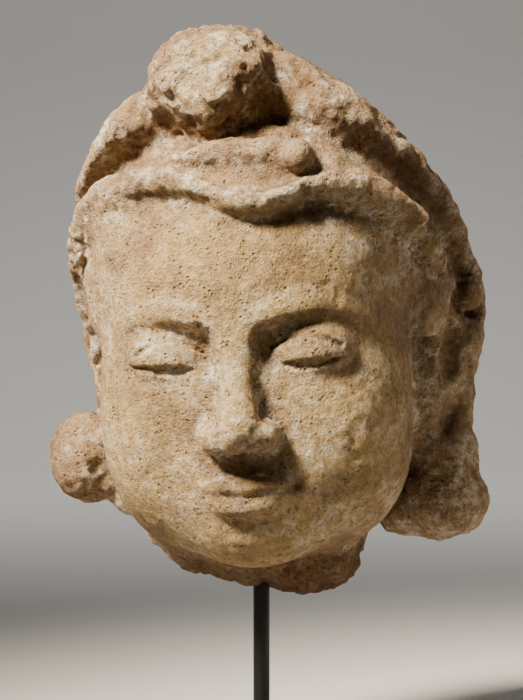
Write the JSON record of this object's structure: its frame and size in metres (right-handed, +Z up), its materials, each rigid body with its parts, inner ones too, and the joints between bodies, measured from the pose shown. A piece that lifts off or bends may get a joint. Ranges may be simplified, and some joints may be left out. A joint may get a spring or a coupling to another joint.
{
  "type": "sculpted head on a post",
  "caption": "Life-size weathered stucco head with rolled hair, turban band, broken topknot and ear ornaments, held on a round steel post with a square steel foot.",
  "frame": {"origin": "middle of the foot plate's underside", "axes": "+Z up along the post, -Y to the front where the face looks, +X to the left ear of the head"},
  "size_m": [0.2169, 0.2115, 0.356],
  "materials": {
    "stucco": "dry weathered lime stucco, pitted, with pale rubbed patches and brown earth in the hollows",
    "painted_steel": "satin black paint"
  },
  "bodies": {
    "root": {"head": "stucco", "mount_post": "painted_steel", "foot_plate": "painted_steel"}
  },
  "joints": []
}
